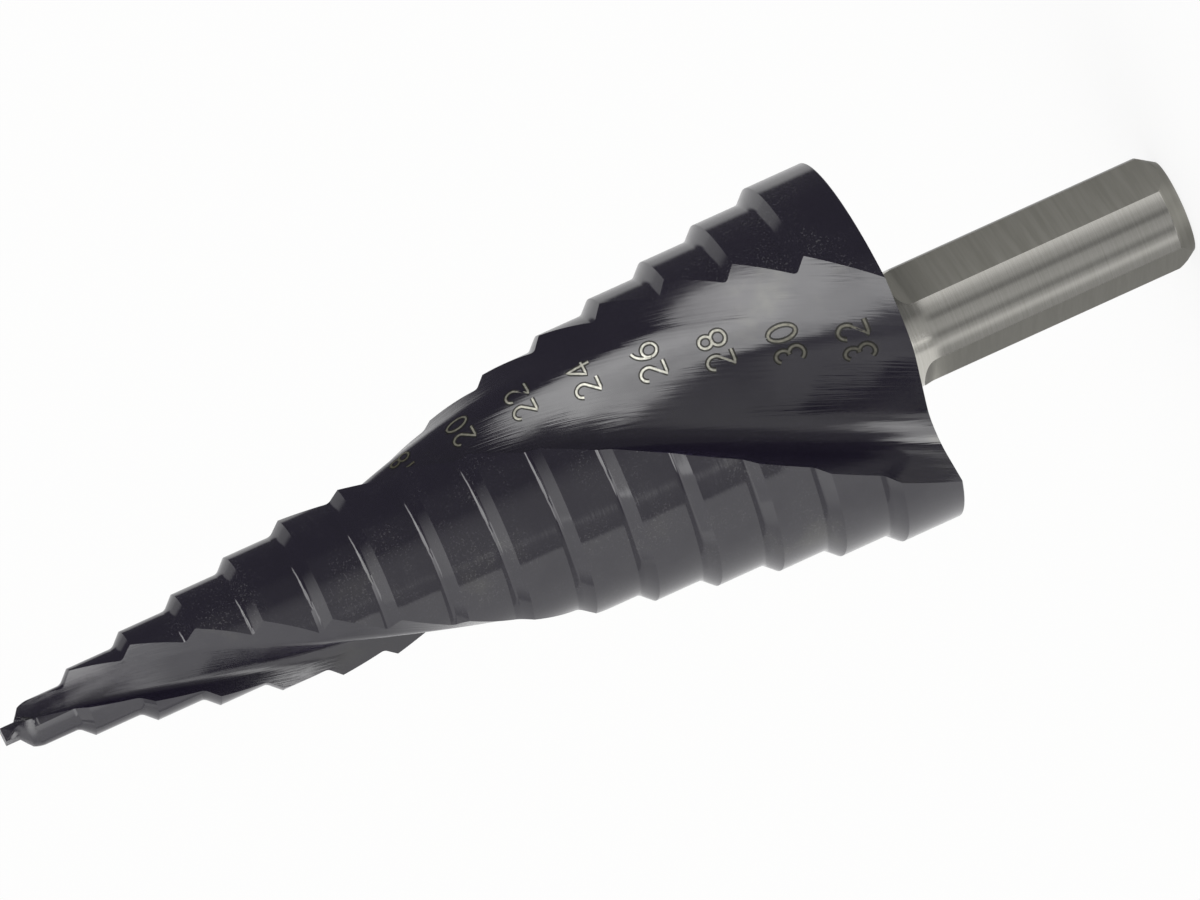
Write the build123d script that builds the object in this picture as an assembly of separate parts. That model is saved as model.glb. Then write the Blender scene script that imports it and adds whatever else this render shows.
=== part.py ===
from build123d import *

import os
from math import cos, radians, sin, sqrt, tan

# Spiral-flute step drill: fifteen steps of 2 mm from 4 mm to 32 mm, two flutes, a split point and
# a 10 mm shank with three flats, all turned, milled and ground from one bar.
#
# Millimetres and degrees. The drill stands on the end of its shank: the origin is the centre of
# that end, and +Z runs up the axis to the point. Angles about the axis count from +X to +Y, so a
# right-hand flute gains angle as it climbs, and the drill cuts as it turns that same way.

# Steps
FIRST_DIAMETER = 4.0  # smallest step, at the point
DIAMETER_STEP = 2.0
STEP_COUNT = 15
STEP_PITCH = 5.23  # axial distance from one step's edge to the next
RISER_LENGTH = 1.05  # axial length of the chamfer between two steps
LAST_STEP_LENGTH = 5.1  # largest step, from its edge to the rear face

# Shank
SHANK_DIAMETER = 10.0
SHANK_LENGTH = 27.1  # from its end to the rear face of the largest step
SHANK_CHAMFER_LENGTH = 1.5
SHANK_CHAMFER_DEPTH = 1.0
SHANK_ROOT_SIZE = 0.9  # 45-degree corner that strengthens the joint with the rear face
FLAT_COUNT = 3
FLAT_DEPTH = 0.63  # below the shank's surface
FLAT_STOP = 1.7  # distance from the rear face to the end of a flat
FLAT_RUNOUT_RADIUS = 1.8  # radius that the milling cutter leaves at that end
FLAT_ANGLE = 78.0  # direction that the first flat faces

# Point
POINT_ANGLE = 103.0  # included angle of the lips
POINT_RELIEF_OFFSET = 0.5  # each side's cone is ground this far ahead of the axis
NIB_WIDTH = 1.25  # square web left standing between the gashes
NIB_LENGTH = 0.8  # how far it stands proud of the lips
GASH_DEPTH = 2.1  # from the nib's foot down the inner end of a lip
GASH_SLOPE = 38.0  # between the gash's floor and the axis

# Flutes: the cross-section scales with the cone that passes through every step's edge.
FLUTE_COUNT = 2
RIM_EDGE_ANGLE = -147.2  # first cutting edge where it meets the rear face
FLUTE_TWIST = 8.96  # degrees per mm of height on a 1 mm radius, less as 1 / sqrt(radius)
FLUTE_SECTIONS = 26  # cross-sections that the flute's surface passes through
FLUTE_OVERRUN = 3.0  # cutter beyond the rear face
POINT_OVERRUN = 2.2  # cutter beyond the nib
POINT_FORM_END = 12.0  # the section has its point form up to here, measured back from the nib
RIM_FORM_START = 28.0  # and its rim form from here on

# Flute outline in shares of the envelope radius, as (outward, ahead) of the cutting edge at (1, 0).
# It runs straight down the rake, round the root, up the back, over a shoulder and out at the heel.
ROOT_CORNER = 0.597  # distance from the axis to where the rake would meet the back
POINT_ROOT_RADIUS = 0.15
RIM_ROOT_RADIUS = 0.19
POINT_SHOULDER = (0.360, 0.600)
RIM_SHOULDER = (0.523, 0.668)
SHOULDER_RADIUS = 0.35
HEEL_ANGLE = 79.5  # from the cutting edge round to the other land's heel
CLEAR_SHARE = 1.6  # the cutter is closed outside the steps, at this share of the radius

# Derived sizes
FIRST_RADIUS = FIRST_DIAMETER / 2
SHANK_RADIUS = SHANK_DIAMETER / 2
RADIUS_STEP = DIAMETER_STEP / 2
LAST_RADIUS = FIRST_RADIUS + (STEP_COUNT - 1) * RADIUS_STEP
NIB_RADIUS = NIB_WIDTH / 2
POINT_SLOPE = 1 / tan(radians(POINT_ANGLE / 2))  # rise of a lip per mm towards the axis
POINT_HEIGHT = (FIRST_RADIUS - NIB_RADIUS) * POINT_SLOPE
FIRST_EDGE = SHANK_LENGTH + LAST_STEP_LENGTH + (STEP_COUNT - 1) * STEP_PITCH
NIB_FOOT = FIRST_EDGE + POINT_HEIGHT
TOTAL_LENGTH = NIB_FOOT + NIB_LENGTH


def edge_height(step):
    """Height of a step's edge; step 0 is the smallest."""
    return FIRST_EDGE - step * STEP_PITCH


def envelope_radius(height):
    """Radius of the cone through the steps' edges."""
    return FIRST_RADIUS + (FIRST_EDGE - height) * RADIUS_STEP / STEP_PITCH


def edge_angle(height):
    """Direction of the first cutting edge: the twist per mm, summed up from the rear face."""
    rim = sqrt(envelope_radius(SHANK_LENGTH))
    here = sqrt(envelope_radius(height))
    return RIM_EDGE_ANGLE + 2 * FLUTE_TWIST * STEP_PITCH / RADIUS_STEP * (rim - here)


def turned_blank():
    """Shank, rear face and steps as one profile turned about the axis, below the point."""
    outline = [
        (0, 0),
        (SHANK_RADIUS - SHANK_CHAMFER_DEPTH, 0),
        (SHANK_RADIUS, SHANK_CHAMFER_LENGTH),
        (SHANK_RADIUS, SHANK_LENGTH - SHANK_ROOT_SIZE),
        (SHANK_RADIUS + SHANK_ROOT_SIZE, SHANK_LENGTH),
        (LAST_RADIUS, SHANK_LENGTH),
    ]
    for step in range(STEP_COUNT - 1, 0, -1):
        radius = FIRST_RADIUS + step * RADIUS_STEP
        outline.append((radius, edge_height(step)))
        outline.append((radius - RADIUS_STEP, edge_height(step) + RISER_LENGTH))
    outline.append((FIRST_RADIUS, TOTAL_LENGTH))
    outline.append((0, TOTAL_LENGTH))
    profile = make_face(Plane.XZ * Polyline(*outline, close=True))
    return revolve(profile, Axis.Z)


def ground_point():
    """The shape that the point is ground to: two offset cones, so each side falls away behind its
    lip, with the square nib standing on the web between them."""
    lip = Vector(FIRST_RADIUS, POINT_RELIEF_OFFSET).length
    apex = FIRST_EDGE + lip * POINT_SLOPE
    sides = []
    for turn in (0, 180):
        cone = Cone(apex / POINT_SLOPE, 0, apex, align=(Align.CENTER, Align.CENTER, Align.MIN))
        sides.append(Rot(0, 0, edge_angle(FIRST_EDGE) + turn) * Pos(0, POINT_RELIEF_OFFSET) * cone)
    nib = Box(NIB_WIDTH, NIB_WIDTH, TOTAL_LENGTH, align=(Align.CENTER, Align.CENTER, Align.MIN))
    return (sides[0] & sides[1]) + Rot(0, 0, edge_angle(FIRST_EDGE)) * nib


def blend(at_point, at_rim, height):
    """Value of a flute share at one height, eased from its point form to its rim form."""
    back_from_nib = TOTAL_LENGTH - height
    share = (back_from_nib - POINT_FORM_END) / (RIM_FORM_START - POINT_FORM_END)
    share = min(max(share, 0), 1)
    share = share * share * (3 - 2 * share)
    return at_point * (1 - share) + at_rim * share


def flute_outline(height):
    """Closed outline of the flute cutter at one height."""
    radius = envelope_radius(height)
    outside_edge = Vector(CLEAR_SHARE, 0)
    root = Vector(ROOT_CORNER, 0)
    shoulder = blend(Vector(*POINT_SHOULDER), Vector(*RIM_SHOULDER), height)
    heel = Vector(cos(radians(HEEL_ANGLE)), sin(radians(HEEL_ANGLE)))
    outside_heel = heel + (heel - shoulder).normalized() * (CLEAR_SHARE - 1)
    corner = Vector(CLEAR_SHARE, CLEAR_SHARE)
    flute = FilletPolyline(
        *(point * radius for point in (outside_edge, root, shoulder, outside_heel)),
        radius=(
            blend(POINT_ROOT_RADIUS, RIM_ROOT_RADIUS, height) * radius,
            SHOULDER_RADIUS * radius,
        ),
    )
    outside = Polyline(*(point * radius for point in (outside_heel, corner, outside_edge)))
    outline = Wire([*flute.edges(), *outside.edges()])
    return Pos(0, 0, height) * Rot(0, 0, edge_angle(height)) * outline


def flute_cutter():
    """Solid that one flute removes: its sections are evenly spaced in turn, not in height."""
    bottom = SHANK_LENGTH - FLUTE_OVERRUN
    top = TOTAL_LENGTH + POINT_OVERRUN
    low = sqrt(envelope_radius(top))
    high = sqrt(envelope_radius(bottom))
    outlines = []
    for index in range(FLUTE_SECTIONS):
        root = high + (low - high) * index / (FLUTE_SECTIONS - 1)
        height = FIRST_EDGE - (root * root - FIRST_RADIUS) * STEP_PITCH / RADIUS_STEP
        outlines.append(flute_outline(height))
    return Solid.make_loft(outlines)


def gash_cutter():
    """Wedge that carries a lip in from the flute to the nib: a wall along the lip and a floor that
    climbs away from it."""
    floor = NIB_FOOT - GASH_DEPTH
    climb = TOTAL_LENGTH + POINT_OVERRUN - floor
    outline = Polyline(
        (0, floor), (climb * tan(radians(GASH_SLOPE)), floor + climb), (0, floor + climb), close=True
    )
    wedge = extrude(Plane.YZ * make_face(outline), FIRST_RADIUS * CLEAR_SHARE)
    return Rot(0, 0, edge_angle(FIRST_EDGE)) * Pos(NIB_RADIUS, 0, 0) * wedge


def flat_cutter():
    """Block that mills one shank flat, with the cutter's radius at its inner end."""
    plane = SHANK_RADIUS - FLAT_DEPTH
    top = SHANK_LENGTH - FLAT_STOP
    rise = FLAT_DEPTH
    run = sqrt(2 * FLAT_RUNOUT_RADIUS * rise - rise * rise)
    lead = SHANK_CHAMFER_LENGTH
    face = Line((plane, -lead), (plane, top - run))
    runout = RadiusArc((plane, top - run), (SHANK_RADIUS, top), FLAT_RUNOUT_RADIUS)
    outside = Polyline(
        (SHANK_RADIUS, top), (SHANK_RADIUS + lead, top), (SHANK_RADIUS + lead, -lead), (plane, -lead)
    )
    profile = Plane.XZ * make_face([*face.edges(), *runout.edges(), *outside.edges()])
    return extrude(profile, SHANK_RADIUS, both=True)


def step_drill():
    """The blank with its point ground, its flutes and gashes cut, and its flats milled."""
    drill = turned_blank() & ground_point()
    for flute in range(FLUTE_COUNT):
        turn = Rot(0, 0, flute * 360 / FLUTE_COUNT)
        drill -= turn * flute_cutter()
        drill -= turn * gash_cutter()
    for flat in range(FLAT_COUNT):
        drill -= Rot(0, 0, FLAT_ANGLE + flat * 360 / FLAT_COUNT) * flat_cutter()
    return drill


os.makedirs("parts", exist_ok=True)
drill = step_drill().solid()
drill.label = "step_drill"
export_step(drill, "parts/step_drill.step")
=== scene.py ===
from math import cos, radians, sin

import bmesh
import bpy
import numpy as np
from mathutils import Matrix, Vector


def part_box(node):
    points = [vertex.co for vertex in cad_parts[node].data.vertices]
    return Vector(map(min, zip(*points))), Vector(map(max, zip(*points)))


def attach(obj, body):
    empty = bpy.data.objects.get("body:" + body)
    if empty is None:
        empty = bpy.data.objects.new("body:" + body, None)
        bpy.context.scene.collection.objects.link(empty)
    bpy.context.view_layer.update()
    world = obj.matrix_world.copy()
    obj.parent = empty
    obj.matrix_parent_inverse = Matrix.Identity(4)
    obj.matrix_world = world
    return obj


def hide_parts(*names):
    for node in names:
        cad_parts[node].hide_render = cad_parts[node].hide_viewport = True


# A spiral-flute step drill, standing on the end of its shank with its point up. Lengths are in
# metres, written as millimetres times MM, and angles are in degrees.

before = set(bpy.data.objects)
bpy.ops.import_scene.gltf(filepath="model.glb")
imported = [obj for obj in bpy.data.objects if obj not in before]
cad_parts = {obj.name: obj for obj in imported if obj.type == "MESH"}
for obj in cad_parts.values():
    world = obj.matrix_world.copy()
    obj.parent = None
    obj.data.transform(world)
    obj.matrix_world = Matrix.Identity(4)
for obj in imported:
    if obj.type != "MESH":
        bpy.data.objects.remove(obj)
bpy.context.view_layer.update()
LOW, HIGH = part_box("step_drill")

MM = 0.001

# Steps, where LOW and HIGH give the drill's outside
TOTAL_LENGTH = HIGH.z - LOW.z
LAST_RADIUS = HIGH.x
STEP_COUNT = 15
RADIUS_STEP = 1.0 * MM
FIRST_RADIUS = LAST_RADIUS - (STEP_COUNT - 1) * RADIUS_STEP
STEP_PITCH = 5.23 * MM  # from one step's edge to the next
RISER_LENGTH = 1.05 * MM  # height of the chamfer between two steps
LAST_STEP_LENGTH = 5.1 * MM  # largest step, from its edge to the rear face
SHANK_LENGTH = 27.1 * MM  # up to the rear face of the largest step
FIRST_EDGE = SHANK_LENGTH + LAST_STEP_LENGTH + (STEP_COUNT - 1) * STEP_PITCH
STEP_FILLET = 0.8 * MM  # at the foot of a riser
EDGE_BREAK = 0.05 * MM  # at the rim of the rear face

# Shank
SHANK_RADIUS = 5.0 * MM
SHANK_CHAMFER_LENGTH = 1.5 * MM
SHANK_CHAMFER_DEPTH = 1.0 * MM
SHANK_ROOT_SIZE = 0.9 * MM  # radius of the fillet into the rear face
FLAT_COUNT = 3
FLAT_DEPTH = 0.63 * MM  # below the shank's surface
FLAT_TOP = SHANK_LENGTH - 1.7 * MM  # height at which a flat ends
FLAT_RUNOUT_RADIUS = 1.8 * MM  # radius that the milling cutter leaves below that end
FLAT_RUNOUT = np.sqrt(2 * FLAT_RUNOUT_RADIUS * FLAT_DEPTH - FLAT_DEPTH**2)  # and its length
FLAT_ANGLE = 78.0  # direction that the first flat faces

# The flute's outline, in shares of the radius of the cone through the steps' edges. Where there
# are two values, the first holds at the point and the second at the rim.
RIM_EDGE_ANGLE = -147.2  # direction of the first cutting edge at the rear face
FLUTE_TWIST = 8.96  # for each mm of height on a 1 mm radius, less as 1 / sqrt(radius)
POINT_FORM_END = 12.0 * MM  # distance from the nib up to which it has its point form
RIM_FORM_START = 28.0 * MM  # and from which it has its rim form
ROOT_CORNER = 0.597  # distance from the axis to where the rake would meet the back
ROOT_RADIUS = (0.15, 0.19)
SHOULDER = ((0.360, 0.600), (0.523, 0.668))
SHOULDER_RADIUS = 0.35
HEEL_ANGLE = 79.5  # from the cutting edge round to the heel

# Ground point
POINT_ANGLE = 103.0  # between the two lips
LIP_CORNER_RADIUS = 2.7 * MM
LIP_CORNER_CLEARANCE = 0.01 * MM  # keeps the rounding off the step and the lips themselves
NIB_CLEAR_RADIUS = 0.95 * MM  # goes round the square nib without touching it

# The step sizes marked on one flute's back, each a little below its step's edge. Their tones
# run evenly from the smallest marked step to the rear face, and are painted highlight and shade:
# bright on the middle marks, where the lamp shows in the flute, and darker towards both ends.
MARK_FIRST_STEP = 3
MARK_BELOW_EDGE = 1.1 * MM
MARK_ALONG = 0.88  # distance along the flute's outline on a 10.3 mm radius, in shares
MARK_ALONG_GROWTH = 0.0175 / MM
MARK_ALONG_RADIUS = 10.3 * MM
MARK_HEIGHT = 2.2 * MM  # on a 13.15 mm radius
MARK_GROWTH = 0.045 / MM
MARK_RADIUS = 13.15 * MM
MARK_WIDTH = 0.58  # of a digit, in shares of its height
MARK_SPACING = 0.82  # from one digit to the next, in the same shares
MARK_STROKE = 0.084  # in the same shares
MARK_RIM = 0.21  # width of a stroke with its scorched rims, in the same shares
MARK_LIFT = 0.02 * MM  # of the strokes off the flute, with the scorched rims at half of it
MARK_TONES_WITH_PAINTED_LIGHT = ("#817d69", "#817d69", "#8d8974", "#cfcdc0", "#e4e3d8", "#8a887e", "#6f6d64")
MARK_RIM_TONES = ("#2c2b27", "#2c2b27")

# Rows and columns of the surfaces' grids, and the shares of a length at which single rows lie
STEP_ROWS = 7
RISER_SHARES = (0.3, 0.6)
FILLET_ROWS = 7
RAKE_COLUMNS = 7
ROOT_COLUMNS = 12
BACK_COLUMNS = 12
HEEL_COLUMNS = 16
LAND_COLUMNS = 34
HALF_COLUMNS = RAKE_COLUMNS + ROOT_COLUMNS + BACK_COLUMNS + HEEL_COLUMNS + LAND_COLUMNS
LEAST_SHOULDER_WIDTH = 0.02  # of the columns between the back and the heel, in radius shares
LIP_CORNER_ROWS = 13
LIP_CORNER_COLUMNS = 96
CHAMFER_SHARES = (0.02, 0.3, 0.55, 0.8, 0.97)  # close to its two edges, which keeps them crisp
CHAMFER_PAST = 1.02  # first row above the chamfer, in shares of it
SHANK_ROWS = 30
RUNOUT_ROWS = 16
SHANK_ROOT_ROWS = 8
FLAT_COLUMNS = 12
ROUND_COLUMNS = 26
LEAST_FLAT_HALF = 0.6  # angle that half a flat's columns keep where there is no flat
DIGIT_ARC_POINTS = 22
DIGIT_LINE_POINTS = 6
SCREEN_COLUMNS = 73

# Camera, on the -Y side
VIEW_ELEVATION = 8.8
VIEW_ROLL = 24.4
VIEW_DISTANCE = 2400 * MM
VIEW_WIDTH = 99.0 * MM  # at the drill
VIEW_HEIGHT_ON_AXIS = TOTAL_LENGTH - 55.1 * MM  # of the view's middle
VIEW_SIDE_SHIFT = 1.24 * MM  # of that middle from the axis, towards +X
VIEW_NEAREST = 10 * MM
SENSOR_WIDTH = 36.0

# Floor
FLOOR_REACH = 6000 * MM
FLOOR_GAP = 0.05 * MM  # below the shank's end
FLOOR_GLOW = 0.85  # share of plain white in what the camera sees of it

# Studio that the drill's gloss shows. Azimuths count from -Y towards +X. A patch of light is
# given by azimuth, elevation, inner angle, outer angle and level. The table fills its patch only
# in the room's lower half and on its -X side.
STUDIO_DARK = 0.11
STUDIO_WALL = (-164, 50, 10, 0.75)  # azimuth of the middle, half width, soft edge, level
STUDIO_TABLE = (-151, -34, 88, 91, 0.92)
STUDIO_HALVES = ((0, -90, 86, 90, 1.0), (-90, 0, 86, 90, 1.0))
STUDIO_PATCHES = (
    # ceiling, wall behind, dim front and the -X side
    (-95, 66, 16, 50, 1.15),
    (138, 31, 6, 16, 0.6),
    (-28, -6, 12, 56, 0.45),
    (14, -8, 10, 60, 0.17),
    (-80, 14, 22, 45, 0.5),
    (-100, 14, 16, 22, 0.55),
    # large soft lamp in front, as a cluster of round ones
    (8, 23, 7, 11, 2.6),
    (26, 28, 10, 13, 3.2),
    (42, 26, 6, 9, 2.8),
    (51, 21, 5, 9, 2.2),
    (-7, 28, 5, 10, 2.4),
    (5, 39, 8, 13, 2.9),
    (-21, 36, 6, 11, 2.6),
    # small lamps below it, low in front
    (-37, -16, 3, 8, 2.3),
    (-27, -22, 3, 9, 2.7),
    (-46, -17, 3, 6, 1.9),
    (-27, -16, 3, 5.5, 1.8),
    (-17, -16, 2, 5, 1.0),
    (-11, -25, 3, 8, 1.5),
    (-18, -28, 3, 9, 2.3),
    (-10, -35, 3, 9, 2.1),
    (-1, -43, 4, 10, 2.6),
    (10, -48, 7, 12, 3.5),
    (22, -47, 5, 9, 2.8),
)

# Curved screens that only gloss sees: radius, lowest and highest z, and (azimuth, level) stops
SCREENS = {
    "shank_screen": (12 * MM, -30 * MM, SHANK_LENGTH - 4.6 * MM, (
        (-180, 0.5), (-110, 0.3), (-84, 0.2), (-76, 0.33), (-58, 0.37), (-46, 0.68),
        (-38, 0.42), (-31, 0.24), (-20, 0.44), (-9, 0.40), (-2, 0.2), (10, 0.42),
        (27, 0.74), (34, 1.0), (46, 0.5), (60, 0.28), (110, 0.28), (180, 0.5))),
    "point_screen": (40 * MM, 84 * MM, 150 * MM, (
        (-115, 0.5), (-100, 0.9), (-50, 1.0), (-32, 1.5), (-18, 1.7))),
    "nib_screen": (40 * MM, TOTAL_LENGTH - 3.6 * MM, TOTAL_LENGTH + 1.8 * MM, (
        (-14, 1.5), (28, 1.6))),
    "top_screen": (39 * MM, TOTAL_LENGTH + 11 * MM, TOTAL_LENGTH + 42 * MM, (
        (-55, 2.2), (-8, 2.2))),
}


# ---- colour and nodes ----------------------------------------------------------------------


def colour(code):
    """Linear RGBA of an sRGB hex code."""
    value = np.array([int(code[i : i + 2], 16) / 255 for i in (1, 3, 5)])
    linear = np.where(value <= 0.04045, value / 12.92, ((value + 0.055) / 1.055) ** 2.4)
    return (*linear.tolist(), 1.0)


def node(tree, kind, inputs=None, **settings):
    """Adds one node; inputs maps a socket to a value or to the output that feeds it."""
    new = tree.nodes.new(kind)
    for name, value in settings.items():
        setattr(new, name, value)
    for socket, value in (inputs or {}).items():
        if isinstance(value, bpy.types.NodeSocket):
            tree.links.new(value, new.inputs[socket])
        else:
            new.inputs[socket].default_value = value
    return new


def ramp(tree, factor, stops, interpolation="EASE"):
    """Colour ramp over (position, colour) stops."""
    new = node(tree, "ShaderNodeValToRGB", {"Fac": factor})
    new.color_ramp.interpolation = interpolation
    elements = new.color_ramp.elements
    while len(elements) < len(stops):
        elements.new(0.5)
    for element, (position, value) in zip(elements, stops):
        element.position = position
        element.color = value
    return new.outputs["Color"]


def new_material(name):
    """Empty node material with its output; returns the material, its tree and the output node."""
    material = bpy.data.materials.new(name)
    material.use_nodes = True
    tree = material.node_tree
    tree.nodes.clear()
    return material, tree, node(tree, "ShaderNodeOutputMaterial")


# ---- form of the drill ---------------------------------------------------------------------


def envelope_radius(height):
    """Radius of the cone through the steps' edges: it grows by one radius step each pitch."""
    return FIRST_RADIUS + (FIRST_EDGE - height) * RADIUS_STEP / STEP_PITCH


def edge_angle(height):
    """Direction of the cutting edge in radians: the twist per length falls as 1 / sqrt(radius),
    so the angle grows with the difference of the radii's square roots."""
    rim = np.sqrt(envelope_radius(SHANK_LENGTH) / MM)
    here = np.sqrt(envelope_radius(height) / MM)
    turn = 2 * FLUTE_TWIST * STEP_PITCH / RADIUS_STEP * (rim - here)
    return np.radians(RIM_EDGE_ANGLE + turn)


def rim_share(height):
    """0 near the point and 1 near the rim, eased in between as 3 t^2 - 2 t^3."""
    back = (TOTAL_LENGTH - height - POINT_FORM_END) / (RIM_FORM_START - POINT_FORM_END)
    t = np.clip(back, 0, 1)
    return t * t * (3 - 2 * t)


def outline_parts(height):
    """Corners, directions and lengths of the flute's outline, in shares of the envelope: straight
    down the rake, an arc round the root, straight up the back, an arc over the shoulder, and
    straight out at the heel. Each arc takes radius * tan(turn / 2) off the lines that it joins."""
    share = rim_share(height)[..., None]
    root = np.array([ROOT_CORNER, 0.0]) + 0 * share
    shoulder = np.array(SHOULDER[0]) * (1 - share) + np.array(SHOULDER[1]) * share
    heel = np.array([cos(radians(HEEL_ANGLE)), sin(radians(HEEL_ANGLE))]) + 0 * share
    rake = np.array([-1.0, 0.0]) + 0 * share
    back = shoulder - root
    back_length = np.linalg.norm(back, axis=-1)
    back = back / back_length[..., None]
    out = heel - shoulder
    out = out / np.linalg.norm(out, axis=-1)[..., None]

    def turn(a, b):
        cross = a[..., 0] * b[..., 1] - a[..., 1] * b[..., 0]
        return np.arctan2(cross, (a * b).sum(-1))

    share = share[..., 0]
    root_radius = ROOT_RADIUS[0] * (1 - share) + ROOT_RADIUS[1] * share
    root_turn = turn(rake, back)
    shoulder_turn = turn(back, out)
    root_cut = root_radius * np.tan(np.abs(root_turn) / 2)
    shoulder_cut = SHOULDER_RADIUS * np.tan(np.abs(shoulder_turn) / 2)
    lengths = [
        1 - ROOT_CORNER - root_cut,
        root_radius * np.abs(root_turn),
        back_length - root_cut - shoulder_cut,
        SHOULDER_RADIUS * np.abs(shoulder_turn),
    ]
    knots = np.cumsum(np.stack([0 * share, *lengths], axis=-1), axis=-1)
    return {
        "knots": knots,
        "directions": (rake, back, out),
        "arcs": ((root, root_cut, root_radius, root_turn),
                 (shoulder, shoulder_cut, SHOULDER_RADIUS + 0 * share, shoulder_turn)),
    }


def outline_point(along, height):
    """Point of the flute's outline, in shares, at a distance along it from the cutting edge."""
    parts = outline_parts(height)
    knots = parts["knots"]
    rake, back, out = parts["directions"]

    def on_line(start, direction, distance):
        return start + direction * distance[..., None]

    def on_arc(corner, cut, radius, turn, before, distance):
        start = corner - before * cut[..., None]
        side = np.sign(turn)
        normal = np.stack([-before[..., 1], before[..., 0]], -1) * side[..., None]
        angle = distance / radius
        return (start + normal * (radius * (1 - np.cos(angle)))[..., None]
                + before * (radius * np.sin(angle))[..., None])

    first = np.array([1.0, 0.0]) + 0 * rake
    root, shoulder = parts["arcs"]
    after_root = root[0] + back * root[1][..., None]
    after_shoulder = shoulder[0] + out * shoulder[1][..., None]
    pieces = [
        on_line(first, rake, along),
        on_arc(*root, rake, along - knots[..., 1]),
        on_line(after_root, back, along - knots[..., 2]),
        on_arc(*shoulder, back, along - knots[..., 3]),
        on_line(after_shoulder, out, along - knots[..., 4]),
    ]
    point = pieces[0]
    for index in range(1, 5):
        point = np.where((along > knots[..., index])[..., None], pieces[index], point)
    return point


def place(share, height):
    """Point of the drill from a share (x, y) at a height: scaled by the envelope's radius and
    turned by the cutting edge's angle."""
    radius = envelope_radius(height)
    angle = edge_angle(height)
    x = radius * (share[..., 0] * np.cos(angle) - share[..., 1] * np.sin(angle))
    y = radius * (share[..., 0] * np.sin(angle) + share[..., 1] * np.cos(angle))
    return np.stack([x, y, height + 0 * x], axis=-1)


def heel_end(height, reach):
    """Distance along the outline at which it leaves the land, where the share's length is reach;
    found by halving between the back's start and well past the heel."""
    past_heel, halvings = 1.6, 36
    low = outline_parts(height)["knots"][..., 2]
    high = low + past_heel
    for _ in range(halvings):
        middle = (low + high) / 2
        inside = np.linalg.norm(outline_point(middle, height), axis=-1) < reach
        low = np.where(inside, middle, low)
        high = np.where(inside, high, middle)
    return low


def land_profile():
    """(height, radius, crease) rows of the turned steps from the rear face up to the first step.
    Each step is a cylinder, a cone that leans in by an angle a, and a fillet of radius r into the
    next cylinder: r * sin(t) down from that cylinder and r * (1 - cos(t)) out, for t from a to 0,
    which takes r * tan(a / 2) off both."""
    rows = [
        (SHANK_LENGTH, LAST_RADIUS - EDGE_BREAK, 1),
        (SHANK_LENGTH + EDGE_BREAK, LAST_RADIUS, 1),
    ]
    slope = np.arctan2(RADIUS_STEP, RISER_LENGTH)
    cut = STEP_FILLET * np.tan(slope / 2)
    for step in range(STEP_COUNT - 1, 0, -1):
        radius = FIRST_RADIUS + step * RADIUS_STEP
        edge = FIRST_EDGE - step * STEP_PITCH
        start = rows[-1][0]
        for share in np.linspace(0, 1, STEP_ROWS + 1)[1:]:
            rows.append((start + share * (edge - start), radius, share == 1))
        corner = edge + RISER_LENGTH
        inner = radius - RADIUS_STEP
        for share in RISER_SHARES:
            rows.append((edge + share * RISER_LENGTH, radius - share * RADIUS_STEP, 0))
        for share in np.linspace(0, 1, FILLET_ROWS):
            angle = slope * (1 - share)
            rows.append((corner + cut - STEP_FILLET * np.sin(angle),
                         inner + STEP_FILLET * (1 - np.cos(angle)), share in (0, 1)))
    return np.array(rows, float)


def add_object(name, data):
    """New object in the scene, for a mesh or a camera."""
    new = bpy.data.objects.new(name, data)
    bpy.context.scene.collection.objects.link(new)
    return new


def mesh_from_grid(name, rows, closed=True):
    """Smooth object whose faces join a grid of points, row by row. A closed one goes all round
    each row, and has a flat many-sided face on either end."""
    count, width = rows.shape[:2]
    index = np.arange(count * width).reshape(count, width)
    right = np.roll(index, -1, axis=1)
    if not closed:
        index, right = index[:, :-1], right[:, :-1]
    quads = np.stack([index[:-1], right[:-1], right[1:], index[1:]], axis=-1).reshape(-1, 4)
    faces = quads.tolist()
    if closed:
        faces += [index[0, ::-1].tolist(), index[-1].tolist()]
    mesh = bpy.data.meshes.new(name)
    mesh.from_pydata(rows.reshape(-1, 3).tolist(), [], faces)
    mesh.shade_smooth()
    return add_object(name, mesh)


def values(items, attribute, width, kind=float):
    """Values of an attribute of a mesh's vertices, edges or faces, as an (n, width) array."""
    found = np.zeros(len(items) * width, kind)
    items.foreach_get(attribute, found)
    return found.reshape(-1, width)


def set_materials(mesh, materials, second):
    """Gives a mesh two materials: the second one goes on the faces where second is true. That
    array may end before the end faces, which keep the first material."""
    mesh.materials.clear()
    for material in materials:
        mesh.materials.append(material)
    slots = np.zeros(len(mesh.polygons), np.int32)
    slots[: len(second)] = second
    mesh.polygons.foreach_set("material_index", slots)


def add_unwound(piece):
    """Stores each point's place with the flutes' twist and taper taken out: (x, y) over the
    envelope's radius and turned back by the cutting edge's angle, with the height along z in
    units of 10 mm. Grinding lines that run along a flute are lines of equal x and y in it."""
    places = values(piece.data.vertices, "co", 3)
    height = places[:, 2]
    angle = -edge_angle(height)
    radius = envelope_radius(height)
    x = (places[:, 0] * np.cos(angle) - places[:, 1] * np.sin(angle)) / radius
    y = (places[:, 0] * np.sin(angle) + places[:, 1] * np.cos(angle)) / radius
    unwound = np.stack([x, y, height / (10 * MM)], axis=-1).astype(np.float32)
    attribute = piece.data.attributes.new("unwound", "FLOAT_VECTOR", "POINT")
    attribute.data.foreach_set("vector", unwound.ravel())


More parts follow.
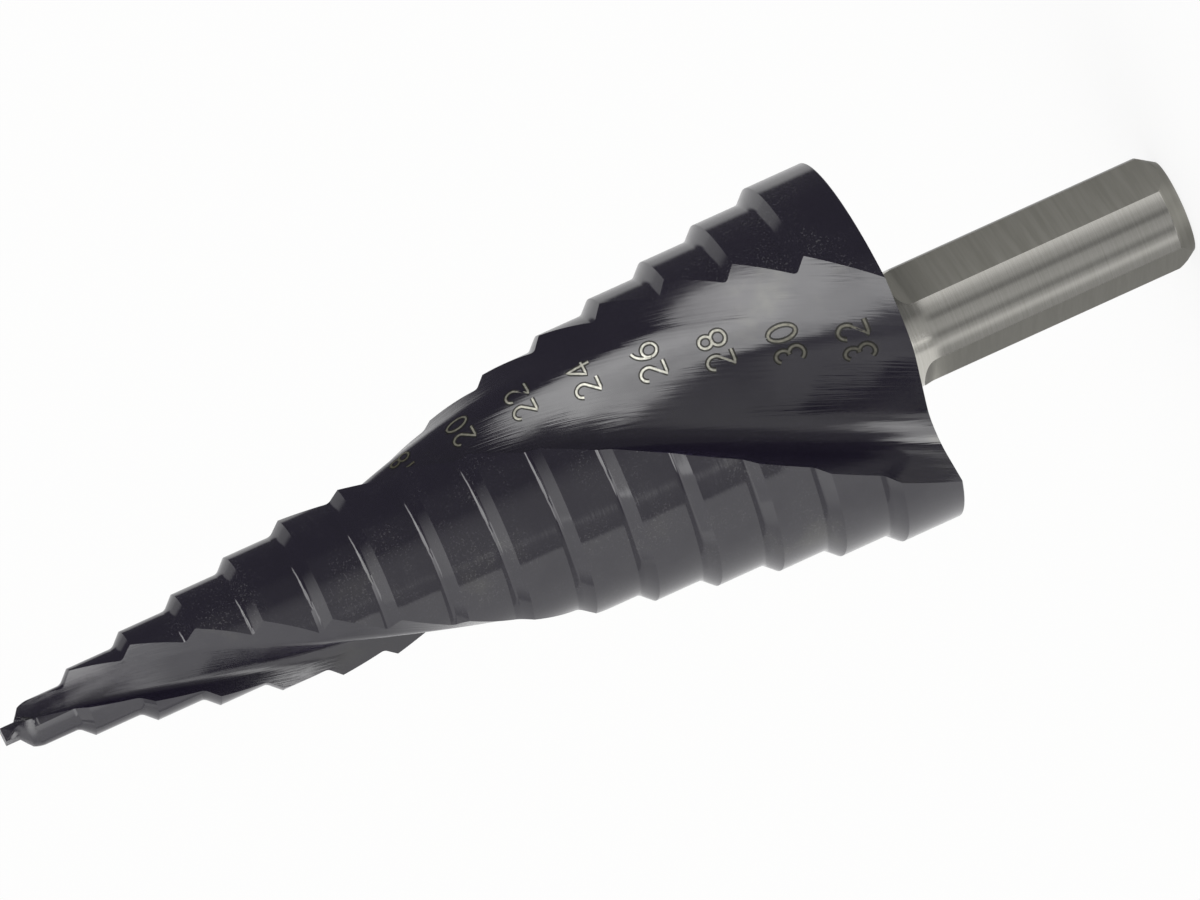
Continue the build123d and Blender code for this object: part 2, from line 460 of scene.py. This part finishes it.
def stepped_body(materials):
    """The stepped cone and its two flutes. A row is one height: the flute's outline from the
    cutting edge round to the heel, then the land's arc to the other cutting edge, and the same
    again half a turn on."""
    profile = land_profile()
    height, radius = profile[:, 0], profile[:, 1]
    reach = radius / envelope_radius(height)
    knots = outline_parts(height)["knots"]
    stops = [1 - reach, knots[:, 1], knots[:, 2], knots[:, 3], heel_end(height, reach)]
    stops[3] = np.minimum(stops[3], stops[4] - LEAST_SHOULDER_WIDTH)
    counts = (RAKE_COLUMNS, ROOT_COLUMNS, BACK_COLUMNS, HEEL_COLUMNS)
    columns = []
    for start, end, count in zip(stops, stops[1:], counts):
        share = np.linspace(0, 1, count, endpoint=False)
        columns.append(start[:, None] + (end - start)[:, None] * share)
    along = np.concatenate(columns, axis=1)
    flute = outline_point(along, height[:, None] + 0 * along)
    last = outline_point(stops[4], height)
    heel = np.arctan2(last[:, 1], last[:, 0])
    share = np.linspace(0, 1, LAND_COLUMNS, endpoint=False)
    angle = heel[:, None] + (np.pi - heel)[:, None] * share
    land = np.stack([np.cos(angle), np.sin(angle)], axis=-1) * reach[:, None, None]
    half = np.concatenate([flute, land], axis=1)
    rows = place(np.concatenate([half, -half], axis=1), height[:, None])
    piece = mesh_from_grid("stepped_body", rows)
    mesh = piece.data

    # creases along the cutting edges and heels, round the steps and round the two end faces
    ends = values(mesh.edges, "vertices", 2, np.int32)
    row, column = np.divmod(ends, 2 * HALF_COLUMNS)
    climbs = column[:, 0] == column[:, 1]
    column = column % HALF_COLUMNS
    land_start = HALF_COLUMNS - LAND_COLUMNS
    flute_edges = climbs & np.isin(column[:, 0], (0, land_start))
    on_land = ((column >= land_start) | (column == 0)).all(axis=1)
    turned = ~climbs & on_land & (profile[row[:, 0], 2] > 0)
    rims = ~climbs & np.isin(row[:, 0], (0, len(height) - 1))
    mesh.edges.foreach_set("use_edge_sharp", flute_edges | turned | rims)

    column = np.arange((len(height) - 1) * 2 * HALF_COLUMNS) % HALF_COLUMNS
    set_materials(mesh, materials, column < land_start)
    add_unwound(piece)
    return piece, height[-1]


def point_envelope(low):
    """Turned shape round the first step and the nib. Its corner is an arc of radius r round
    (R - r, Z - r tan(a / 2)), over the directions 0 to a from radial, for a cone whose side makes
    the angle a with the axis. Further in it runs up past the nib, clear of it."""
    half = radians(POINT_ANGLE / 2)
    radius = FIRST_RADIUS + LIP_CORNER_CLEARANCE
    height = FIRST_EDGE + LIP_CORNER_CLEARANCE
    reach = LIP_CORNER_RADIUS * np.tan(half / 2)
    turn = np.linspace(0, half, LIP_CORNER_ROWS)
    r = radius - LIP_CORNER_RADIUS * (1 - np.cos(turn))
    z = height - reach + LIP_CORNER_RADIUS * np.sin(turn)
    nib_foot = height + (radius - NIB_CLEAR_RADIUS) / np.tan(half)
    r = np.concatenate([[radius], r, [NIB_CLEAR_RADIUS, NIB_CLEAR_RADIUS]])
    z = np.concatenate([[low], z, [nib_foot, TOTAL_LENGTH + MM]])
    angle = np.linspace(0, 2 * np.pi, LIP_CORNER_COLUMNS, endpoint=False)
    rows = np.stack([
        r[:, None] * np.cos(angle), r[:, None] * np.sin(angle), z[:, None] + 0 * angle], axis=-1)
    return mesh_from_grid("point_envelope", rows)


def keep_inside(piece, envelope):
    """Cuts a piece down to what lies inside an envelope, which is then removed."""
    name = piece.data.name
    cut = piece.modifiers.new("cut", "BOOLEAN")
    cut.operation = "INTERSECT"
    cut.solver = "EXACT"
    cut.object = envelope
    whole = piece.data
    with_cut = piece.evaluated_get(bpy.context.evaluated_depsgraph_get())
    piece.data = bpy.data.meshes.new_from_object(with_cut)
    piece.modifiers.clear()
    bpy.data.meshes.remove(whole)
    bpy.data.objects.remove(envelope)
    piece.data.name = name


def drill_point(cut_height, materials):
    """The ground point above the first step's foot, from a merged copy of the CAD mesh, with the
    lips' outer corners rounded."""
    merge_distance = 0.0005 * MM
    crease = 14.0  # angle between two faces past which their edge shows
    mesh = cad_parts["step_drill"].data.copy()
    mesh.name = "ground_point"
    shape = bmesh.new()
    shape.from_mesh(mesh)
    bmesh.ops.remove_doubles(shape, verts=shape.verts, dist=merge_distance)
    geometry = [*shape.verts, *shape.edges, *shape.faces]
    cut = bmesh.ops.bisect_plane(
        shape, geom=geometry, plane_co=(0, 0, cut_height), plane_no=(0, 0, 1), clear_inner=True
    )
    loop = [item for item in cut["geom_cut"] if isinstance(item, bmesh.types.BMEdge)]
    bmesh.ops.contextual_create(shape, geom=loop)
    shape.to_mesh(mesh)
    shape.free()
    piece = add_object("ground_point", mesh)
    keep_inside(piece, point_envelope(cut_height - MM))
    mesh = piece.data
    mesh.shade_smooth()
    mesh.set_sharp_from_angle(angle=radians(crease))

    # the first step's surface faces outwards on its full radius, apart from the facets' sag
    facet_sag, facing = 0.06 * MM, 0.95
    centre = values(mesh.polygons, "center", 3)
    normal = values(mesh.polygons, "normal", 3)
    radial = np.hypot(centre[:, 0], centre[:, 1])
    outward = (centre[:, :2] * normal[:, :2]).sum(-1) / np.maximum(radial, 1e-9)
    turned = (radial > FIRST_RADIUS - facet_sag) & (outward > facing)
    set_materials(mesh, materials, ~turned)
    add_unwound(piece)
    return piece


def flat_plane(height):
    """Distance of a shank flat from the axis: level, then up an arc of the milling cutter's
    radius to the shank's surface."""
    past = np.clip(height - (FLAT_TOP - FLAT_RUNOUT), 0, FLAT_RUNOUT)
    rise = FLAT_RUNOUT_RADIUS - np.sqrt(FLAT_RUNOUT_RADIUS**2 - past**2)
    return SHANK_RADIUS - FLAT_DEPTH + rise


def shank(materials):
    """The shank: a row is one height, with three flats a third of a turn apart. Across a flat the
    radius is plane / cos(angle from its middle), and between two flats it is the turned radius."""
    crease = 12.0  # angle between two faces past which their edge shows
    chamfer = [(SHANK_CHAMFER_LENGTH * t, SHANK_RADIUS - SHANK_CHAMFER_DEPTH * (1 - t))
               for t in (0, *CHAMFER_SHARES)]
    runout_start = FLAT_TOP - FLAT_RUNOUT
    straight = [(z, SHANK_RADIUS) for z in np.linspace(
        SHANK_CHAMFER_LENGTH * CHAMFER_PAST, runout_start, SHANK_ROWS)]
    runout = [(z, SHANK_RADIUS) for z in np.linspace(runout_start, FLAT_TOP, RUNOUT_ROWS)[1:]]
    neck = [(SHANK_LENGTH - SHANK_ROOT_SIZE * (1 - sin(t)),
             SHANK_RADIUS + SHANK_ROOT_SIZE * (1 - cos(t)))
            for t in np.linspace(0, np.pi / 2, SHANK_ROOT_ROWS)]
    profile = np.array([*chamfer, *straight, *runout, *neck])
    height, radius = profile[:, 0], profile[:, 1]
    plane = np.minimum(flat_plane(height), radius * cos(radians(LEAST_FLAT_HALF)))
    half_width = np.arccos(plane / radius)
    columns = []
    for flat in range(FLAT_COUNT):
        middle = radians(FLAT_ANGLE + flat * 360 / FLAT_COUNT)
        share = np.linspace(-1, 1, FLAT_COLUMNS, endpoint=False)
        offset = half_width[:, None] * share
        distance = plane[:, None] / np.cos(offset)
        columns.append(np.stack([middle + offset, distance], axis=-1))
        gap = 2 * np.pi / FLAT_COUNT - 2 * half_width
        share = np.linspace(0, 1, ROUND_COLUMNS, endpoint=False)
        offset = half_width[:, None] + gap[:, None] * share
        columns.append(np.stack([middle + offset, radius[:, None] + 0 * offset], axis=-1))
    polar = np.concatenate(columns, axis=1)
    rows = np.stack([
        polar[..., 1] * np.cos(polar[..., 0]),
        polar[..., 1] * np.sin(polar[..., 0]),
        height[:, None] + 0 * polar[..., 0],
    ], axis=-1)
    piece = mesh_from_grid("shank", rows)
    piece.data.set_sharp_from_angle(angle=radians(crease))

    width = FLAT_COUNT * (FLAT_COLUMNS + ROUND_COLUMNS)
    row, column = np.divmod(np.arange((len(height) - 1) * width), width)
    top = height[row + 1]
    on_flat = (column % (FLAT_COLUMNS + ROUND_COLUMNS) < FLAT_COLUMNS) & (top <= FLAT_TOP)
    set_materials(piece.data, materials, on_flat | (top < SHANK_CHAMFER_LENGTH))
    return piece


def arc(x, y, across, up, start, end):
    """Points of an ellipse's arc about (x, y), from one angle to another."""
    angle = np.radians(np.linspace(start, end, DIGIT_ARC_POINTS))
    return np.stack([x + across * np.cos(angle), y + up * np.sin(angle)], axis=-1)


def line(*corners):
    """Points along straight runs between corners."""
    corners = np.array(corners, float)
    share = np.linspace(0, 1, DIGIT_LINE_POINTS)[:-1, None]
    runs = [a + (b - a) * share for a, b in zip(corners, corners[1:])]
    return np.concatenate([*runs, corners[-1:]])


# Strokes of each digit in a box one wide and one high
DIGITS = {
    "0": [arc(0.5, 0.5, 0.46, 0.5, 90, 450)],
    "1": [line((0.25, 0.78), (0.6, 1.0), (0.6, 0.0))],
    "2": [np.concatenate([
        arc(0.48, 0.7, 0.44, 0.3, 165, -35), line((0.05, 0.0), (1.0, 0.0))])],
    "3": [np.concatenate([
        arc(0.46, 0.75, 0.4, 0.25, 150, -80), arc(0.46, 0.26, 0.48, 0.27, 85, -150)])],
    "4": [line((0.72, 0.0), (0.72, 1.0), (0.0, 0.3), (1.0, 0.3))],
    "6": [np.concatenate([
        arc(0.9, 0.32, 0.86, 0.68, 100, 178), arc(0.5, 0.3, 0.46, 0.3, 180, -180)])],
    "8": [arc(0.5, 0.76, 0.38, 0.24, -90, 270), arc(0.5, 0.27, 0.47, 0.27, 90, 450)],
}


def ribbon(points, width):
    """Left and right sides of a stroke: each point moved half the width across its direction."""
    run = np.gradient(points, axis=0)
    run = run / np.maximum(np.linalg.norm(run, axis=-1), 1e-9)[:, None]
    side = np.stack([-run[:, 1], run[:, 0]], axis=-1) * width / 2
    return np.stack([points + side, points - side], axis=1)


def on_flute(across, up, along, height, lift):
    """Places of flat (across, up) distances on the flute's back about one point of it, lifted off
    it by lift. A step da along the outline and dz up the flute moves by da * A + dz * B, so the
    pair that gives across * a + up * u, with a along A and u square to it, is solved from those
    two vectors."""
    step, rise = 1e-4, 1e-3 * MM
    middle, level = np.array([along]), np.array([height])
    start = place(outline_point(middle, level), level)[0]
    a_vector = (place(outline_point(middle + step, level), level)[0] - start) / step
    b_vector = (place(outline_point(middle, level + rise), level + rise)[0] - start) / rise
    a_unit = a_vector / np.linalg.norm(a_vector)
    square = b_vector - a_unit * (b_vector @ a_unit)
    u_unit = square / np.linalg.norm(square)
    climb = up / (b_vector @ u_unit)
    onward = (across - climb * (b_vector @ a_unit)) / np.linalg.norm(a_vector)
    heights = height + climb
    surface = place(outline_point(along + onward, heights), heights)
    return surface + np.cross(a_unit, u_unit) * lift


def step_marks(name, stroke, lift, material):
    """The steps' diameters in millimetres on one flute's back, as ribbons that follow it. They
    read away from the cutting edge, with their tops towards the point."""
    places, faces, count = [], [], 0
    for step in range(MARK_FIRST_STEP, STEP_COUNT):
        height = FIRST_EDGE - step * STEP_PITCH - MARK_BELOW_EDGE
        radius = envelope_radius(height)
        along = MARK_ALONG + MARK_ALONG_GROWTH * (radius - MARK_ALONG_RADIUS)
        size = MARK_HEIGHT * (1 + MARK_GROWTH * (radius - MARK_RADIUS))
        text = str(round(2 * (FIRST_RADIUS + step * RADIUS_STEP) / MM))
        length = (len(text) - 1) * MARK_SPACING + MARK_WIDTH
        for index, digit in enumerate(text):
            start = index * MARK_SPACING - length / 2
            for points in DIGITS[digit]:
                sides = ribbon(points * (MARK_WIDTH, 1) + (start, -0.5), stroke) * size
                shape = on_flute(sides[..., 0], sides[..., 1], along, height, lift)
                left, right = (count + np.arange(2 * len(sides))).reshape(-1, 2).T
                quads = np.stack([left[:-1], left[1:], right[1:], right[:-1]], axis=-1)
                places.append(shape.reshape(-1, 3))
                faces.extend(quads.tolist())
                count += 2 * len(sides)
    mesh = bpy.data.meshes.new(name)
    mesh.from_pydata(np.concatenate(places).tolist(), [], faces)
    mesh.materials.append(material)
    return add_object(name, mesh)


# ---- materials -----------------------------------------------------------------------------


def coated_steel(name, flute):
    """Dark aluminium titanium nitride coating on ground high-speed steel: a hard, thin film that
    stays as glossy as the steel under it and scatters a little violet. Droplets of the coating
    dust the turned lands with pale grains, and the flutes keep the grinding wheel's long lines."""
    material, tree, output = new_material(name)
    place_in = node(tree, "ShaderNodeTexCoord").outputs["Object"]
    if flute:
        # lines along the flute, about 0.2 mm apart across it on a 10 mm radius
        unwound = node(tree, "ShaderNodeAttribute", attribute_name="unwound").outputs["Vector"]
        stretch = node(tree, "ShaderNodeMapping", {"Vector": unwound, "Scale": (45, 45, 1.0)})
        line_height, smoothest, roughest, most_grain = 0.045 * MM, 0.08, 0.16, 0.3
    else:
        # turning marks round the drill, 0.2 mm apart
        stretch = node(tree, "ShaderNodeMapping", {"Vector": place_in, "Scale": (300, 300, 5000)})
        line_height, smoothest, roughest, most_grain = 0.005 * MM, 0.06, 0.12, 0.8
    lines = node(tree, "ShaderNodeTexNoise", {
        "Vector": stretch.outputs["Vector"], "Scale": 1.0, "Detail": 3.0, "Roughness": 0.6})
    # patches about 7 mm across, in which grains 0.2 mm apart gather
    cloud = node(tree, "ShaderNodeTexNoise", {
        "Vector": place_in, "Scale": 140.0, "Detail": 4.0, "Roughness": 0.6})
    grit = node(tree, "ShaderNodeTexNoise", {
        "Vector": place_in, "Scale": 5000.0, "Detail": 2.0, "Roughness": 0.7})
    tint = ramp(tree, cloud.outputs["Fac"], [
        (0.3, colour("#555555")), (0.55, colour("#595959")), (0.75, colour("#62625f"))])
    rough = node(tree, "ShaderNodeMapRange", {
        "Value": lines.outputs["Fac"], "From Min": 0.3, "From Max": 0.7,
        "To Min": smoothest, "To Max": roughest})
    bump = node(tree, "ShaderNodeBump", {
        "Height": lines.outputs["Fac"], "Strength": 0.5, "Distance": line_height})
    film = node(tree, "ShaderNodeBsdfPrincipled", {
        "Base Color": tint, "Metallic": 1.0, "Roughness": rough.outputs["Result"],
        "Normal": bump.outputs["Normal"]})
    gather = node(tree, "ShaderNodeMapRange", {
        "Value": cloud.outputs["Fac"], "From Min": 0.42, "From Max": 0.62,
        "To Min": 0.0, "To Max": most_grain})
    grain = node(tree, "ShaderNodeMapRange", {
        "Value": grit.outputs["Fac"], "From Min": 0.56, "From Max": 0.66,
        "To Min": 0.0, "To Max": gather.outputs["Result"]})
    scatter = ramp(tree, grain.outputs["Result"], [
        (0.0, colour("#504866")), (1.0, colour("#8f8e92"))], "LINEAR")
    share = node(tree, "ShaderNodeMapRange", {
        "Value": grain.outputs["Result"], "To Min": 0.13, "To Max": 0.27})
    haze = node(tree, "ShaderNodeBsdfDiffuse", {"Color": scatter})
    mixed = node(tree, "ShaderNodeMixShader", {
        0: share.outputs["Result"], 1: film.outputs["BSDF"], 2: haze.outputs["BSDF"]})
    tree.links.new(mixed.outputs["Shader"], output.inputs["Surface"])
    return material


def etched_mark(name, tones, metallic, roughness):
    """Laser marking in the coating: the beam leaves a dull, paler line with a dark scorched rim.
    The tones are spread over the height, which on the marks' fill is painted highlight and shade,
    and mottling takes up to a third of their light."""
    material, tree, output = new_material(name)
    place_in = node(tree, "ShaderNodeTexCoord").outputs["Object"]
    # mottling a quarter of a millimetre across, as the beam's passes leave it
    mottle = node(tree, "ShaderNodeTexNoise", {
        "Vector": place_in, "Scale": 4000.0, "Detail": 3.0, "Roughness": 0.6})
    along = node(tree, "ShaderNodeSeparateXYZ", {"Vector": place_in})
    share = node(tree, "ShaderNodeMapRange", {
        "Value": along.outputs["Z"], "From Min": FIRST_EDGE - MARK_FIRST_STEP * STEP_PITCH,
        "From Max": SHANK_LENGTH})
    count = len(tones) - 1
    # painted highlight and shade on the marks' fill: brighter in the middle of the run, darker at
    # both ends
    tone = ramp(tree, share.outputs["Result"], [
        (index / count, colour(value)) for index, value in enumerate(tones)], "LINEAR")
    patchy = ramp(tree, mottle.outputs["Fac"], [
        (0.35, (0.67, 0.67, 0.67, 1)), (0.65, (1, 1, 1, 1))])
    # a Mix node's colours A and B are its sockets 6 and 7, and their result is its output 2
    tint = node(tree, "ShaderNodeMix", {6: tone, 7: patchy, 0: 1.0}, data_type="RGBA",
                blend_type="MULTIPLY").outputs[2]
    shader = node(tree, "ShaderNodeBsdfPrincipled", {
        "Base Color": tint, "Metallic": metallic, "Roughness": roughness})
    tree.links.new(shader.outputs["BSDF"], output.inputs["Surface"])
    return material


def bare_steel(name, milled):
    """Bare steel of the shank, bright and a little warm: ground round with fine marks, or cut with
    coarser ones that dull it, as on the milled flats and the end chamfer."""
    material, tree, output = new_material(name)
    place_in = node(tree, "ShaderNodeTexCoord").outputs["Object"]
    if milled:
        # the cutter's marks across the flats, 0.4 mm apart
        scale, line_height, smoothest, roughest = (120, 120, 2500), 0.008 * MM, 0.38, 0.5
        dark, pale = "#b3b1a8", "#c0beb6"
    else:
        # marks round the shank, 0.15 mm apart
        scale, line_height, smoothest, roughest = (150, 150, 7000), 0.0015 * MM, 0.15, 0.2
        dark, pale = "#c4c2bb", "#cccac4"
    stretch = node(tree, "ShaderNodeMapping", {"Vector": place_in, "Scale": scale})
    lines = node(tree, "ShaderNodeTexNoise", {
        "Vector": stretch.outputs["Vector"], "Scale": 1.0, "Detail": 4.0, "Roughness": 0.65})
    tint = ramp(tree, lines.outputs["Fac"], [(0.3, colour(dark)), (0.7, colour(pale))])
    rough = node(tree, "ShaderNodeMapRange", {
        "Value": lines.outputs["Fac"], "From Min": 0.3, "From Max": 0.7,
        "To Min": smoothest, "To Max": roughest})
    bump = node(tree, "ShaderNodeBump", {
        "Height": lines.outputs["Fac"], "Strength": 0.3, "Distance": line_height})
    shader = node(tree, "ShaderNodeBsdfPrincipled", {
        "Base Color": tint, "Metallic": 1.0, "Roughness": rough.outputs["Result"],
        "Normal": bump.outputs["Normal"]})
    tree.links.new(shader.outputs["BSDF"], output.inputs["Surface"])
    return material


# ---- camera, floor and studio --------------------------------------------------------------


def add_camera():
    """Camera on the drill's -Y side, looking a little down at it, and rolled so that the point
    hangs to the lower left."""
    a, roll = radians(VIEW_ELEVATION), radians(VIEW_ROLL)
    down = Vector((0, -sin(a), -cos(a)))
    side = Vector((1, 0, 0))
    right = down * cos(roll) - side * sin(roll)
    up = down * sin(roll) + side * cos(roll)
    towards = Vector((0, -cos(a), sin(a)))
    aim = Vector((VIEW_SIDE_SHIFT, 0, VIEW_HEIGHT_ON_AXIS))
    data = bpy.data.cameras.new("camera")
    data.sensor_width = SENSOR_WIDTH
    data.lens = SENSOR_WIDTH * VIEW_DISTANCE / VIEW_WIDTH
    data.clip_start = VIEW_NEAREST
    camera = add_object("camera", data)
    turn = Matrix((right, up, towards)).transposed().to_4x4()
    camera.matrix_world = Matrix.Translation(aim + towards * VIEW_DISTANCE) @ turn
    bpy.context.scene.camera = camera


def add_floor():
    """Pale floor that the drill stands on. It shows as white and keeps a faint shadow, and the
    drill's gloss looks past it at the studio."""
    corners = [(x * FLOOR_REACH, y * FLOOR_REACH, LOW.z - FLOOR_GAP)
               for x, y in ((-1, -1), (1, -1), (1, 1), (-1, 1))]
    mesh = bpy.data.meshes.new("floor")
    mesh.from_pydata(corners, [], [(0, 1, 2, 3)])
    floor = add_object("floor", mesh)
    material, tree, output = new_material("matt_white_floor")
    diffuse = node(tree, "ShaderNodeBsdfDiffuse", {"Color": colour("#f4f4f2")})
    glow = node(tree, "ShaderNodeEmission", {"Color": colour("#ffffff"), "Strength": 1.0})
    path = node(tree, "ShaderNodeLightPath")
    share = node(tree, "ShaderNodeMath", {0: path.outputs["Is Camera Ray"], 1: FLOOR_GLOW},
                 operation="MULTIPLY")
    seen = node(tree, "ShaderNodeMixShader", {
        0: share.outputs["Value"], 1: diffuse.outputs["BSDF"], 2: glow.outputs["Emission"]})
    clear = node(tree, "ShaderNodeBsdfTransparent")
    mixed = node(tree, "ShaderNodeMixShader", {
        0: path.outputs["Is Glossy Ray"], 1: seen.outputs["Shader"], 2: clear.outputs["BSDF"]})
    tree.links.new(mixed.outputs["Shader"], output.inputs["Surface"])
    mesh.materials.append(material)


def heading(azimuth, elevation=0.0):
    """Unit vector towards a place in the studio: azimuth from -Y towards +X, elevation up."""
    turn, rise = radians(azimuth), radians(elevation)
    return (sin(turn) * cos(rise), -cos(turn) * cos(rise), sin(rise))


def studio_patch(tree, direction, azimuth, elevation, inner, outer, level):
    """Round soft patch of light: full inside the inner angle, nothing outside the outer one."""
    facing = node(tree, "ShaderNodeVectorMath", {
        0: direction, 1: heading(azimuth, elevation)}, operation="DOT_PRODUCT").outputs["Value"]
    return node(tree, "ShaderNodeMapRange", {
        "Value": facing, "From Min": cos(radians(outer)), "From Max": cos(radians(inner)),
        "To Min": 0.0, "To Max": level}, interpolation_type="SMOOTHSTEP").outputs["Result"]


def studio_wedge(tree, direction, azimuth, half_width, edge, level):
    """Wall of light from floor to ceiling, over the azimuths within half_width of its middle."""
    along = node(tree, "ShaderNodeVectorMath", {
        0: direction, 1: heading(azimuth)}, operation="DOT_PRODUCT").outputs["Value"]
    across = node(tree, "ShaderNodeVectorMath", {
        0: direction, 1: heading(azimuth + 90)}, operation="DOT_PRODUCT").outputs["Value"]
    across = node(tree, "ShaderNodeMath", {0: across}, operation="ABSOLUTE").outputs["Value"]
    angle = node(tree, "ShaderNodeMath", {0: across, 1: along}, operation="ARCTAN2")
    return node(tree, "ShaderNodeMapRange", {
        "Value": angle.outputs["Value"], "From Min": radians(half_width + edge),
        "From Max": radians(half_width), "To Min": 0.0, "To Max": level},
        interpolation_type="SMOOTHSTEP").outputs["Result"]


def add_world():
    """White studio, seen as white by the camera and by matt surfaces. The drill's gloss shows it
    as a dark room with a white wall behind, a pale table to one side, a lit ceiling and soft
    lamps in front, of which the brightest counts in each direction."""
    world = bpy.data.worlds.new("studio")
    world.use_nodes = True
    tree = world.node_tree
    tree.nodes.clear()
    direction = node(tree, "ShaderNodeTexCoord").outputs["Generated"]
    table = studio_patch(tree, direction, *STUDIO_TABLE)
    for half in STUDIO_HALVES:
        inside = studio_patch(tree, direction, *half)
        table = node(tree, "ShaderNodeMath", {0: table, 1: inside}, operation="MULTIPLY")
        table = table.outputs["Value"]
    parts = [table, studio_wedge(tree, direction, *STUDIO_WALL)]
    parts += [studio_patch(tree, direction, *patch) for patch in STUDIO_PATCHES]
    light = STUDIO_DARK
    for part in parts:
        light = node(tree, "ShaderNodeMath", {0: light, 1: part}, operation="MAXIMUM")
        light = light.outputs["Value"]
    room = node(tree, "ShaderNodeBackground", {"Color": colour("#fffffe"), "Strength": light})
    white = node(tree, "ShaderNodeBackground", {"Color": colour("#ffffff"), "Strength": 1.0})
    path = node(tree, "ShaderNodeLightPath")
    mixed = node(tree, "ShaderNodeMixShader", {
        0: path.outputs["Is Glossy Ray"], 1: white.outputs["Background"],
        2: room.outputs["Background"]})
    node(tree, "ShaderNodeOutputWorld", {"Surface": mixed.outputs["Shader"]})
    bpy.context.scene.world = world


def add_screen(name, radius, low, high, stops):
    """Curved screen beside the drill that only gloss sees, from one height to another. Its
    light goes smoothly from one (azimuth, level) stop to the next."""
    first, last = stops[0][0], stops[-1][0]
    turn = np.radians(np.linspace(first, last, SCREEN_COLUMNS))
    ring = np.stack([np.sin(turn), -np.cos(turn)], axis=-1) * radius
    rows = [np.column_stack([ring, np.full(len(ring), z)]) for z in (low, high)]
    screen = mesh_from_grid(name, np.array(rows), closed=False)
    material, tree, output = new_material(name + "_cloth")
    place_in = node(tree, "ShaderNodeSeparateXYZ", {
        "Vector": node(tree, "ShaderNodeTexCoord").outputs["Object"]})
    front = node(tree, "ShaderNodeMath", {0: place_in.outputs["Y"], 1: -1.0}, operation="MULTIPLY")
    angle = node(tree, "ShaderNodeMath", {
        0: place_in.outputs["X"], 1: front.outputs["Value"]}, operation="ARCTAN2")
    share = node(tree, "ShaderNodeMapRange", {
        "Value": angle.outputs["Value"], "From Min": radians(first), "From Max": radians(last)})
    level = ramp(tree, share.outputs["Result"], [
        ((azimuth - first) / (last - first), (value, value, value, 1)) for azimuth, value in stops])
    glow = node(tree, "ShaderNodeEmission", {"Color": level, "Strength": 1.0})
    clear = node(tree, "ShaderNodeBsdfTransparent")
    path = node(tree, "ShaderNodeLightPath")
    mixed = node(tree, "ShaderNodeMixShader", {
        0: path.outputs["Is Glossy Ray"], 1: clear.outputs["BSDF"], 2: glow.outputs["Emission"]})
    tree.links.new(mixed.outputs["Shader"], output.inputs["Surface"])
    screen.data.materials.append(material)


# ---- the drill -----------------------------------------------------------------------------

turned_coat = coated_steel("coated_turned_steel", flute=False)
ground_coat = coated_steel("coated_ground_steel", flute=True)
ground_shank = bare_steel("ground_shank_steel", milled=False)
milled_flat = bare_steel("milled_shank_steel", milled=True)
scorched_rim = etched_mark("scorched_coating", MARK_RIM_TONES, metallic=0.3, roughness=0.35)
# its tones carry painted highlight and shade along the run of marks
marked_line = etched_mark("laser_marked_coating_with_painted_light", MARK_TONES_WITH_PAINTED_LIGHT, metallic=0.8, roughness=0.42)

body, cut_height = stepped_body((turned_coat, ground_coat))
point = drill_point(cut_height, (turned_coat, ground_coat))
stem = shank((ground_shank, milled_flat))
rims = step_marks("step_mark_rims", MARK_RIM, MARK_LIFT / 2, scorched_rim)
marks = step_marks("step_marks", MARK_STROKE, MARK_LIFT, marked_line)
for piece in (body, point, stem):
    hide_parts("step_drill")
for piece in (body, point, stem, rims, marks):
    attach(piece, "root")

add_camera()
add_floor()
for name, shape in SCREENS.items():
    add_screen(name, *shape)
add_world()

bpy.context.scene.view_settings.view_transform = "Standard"
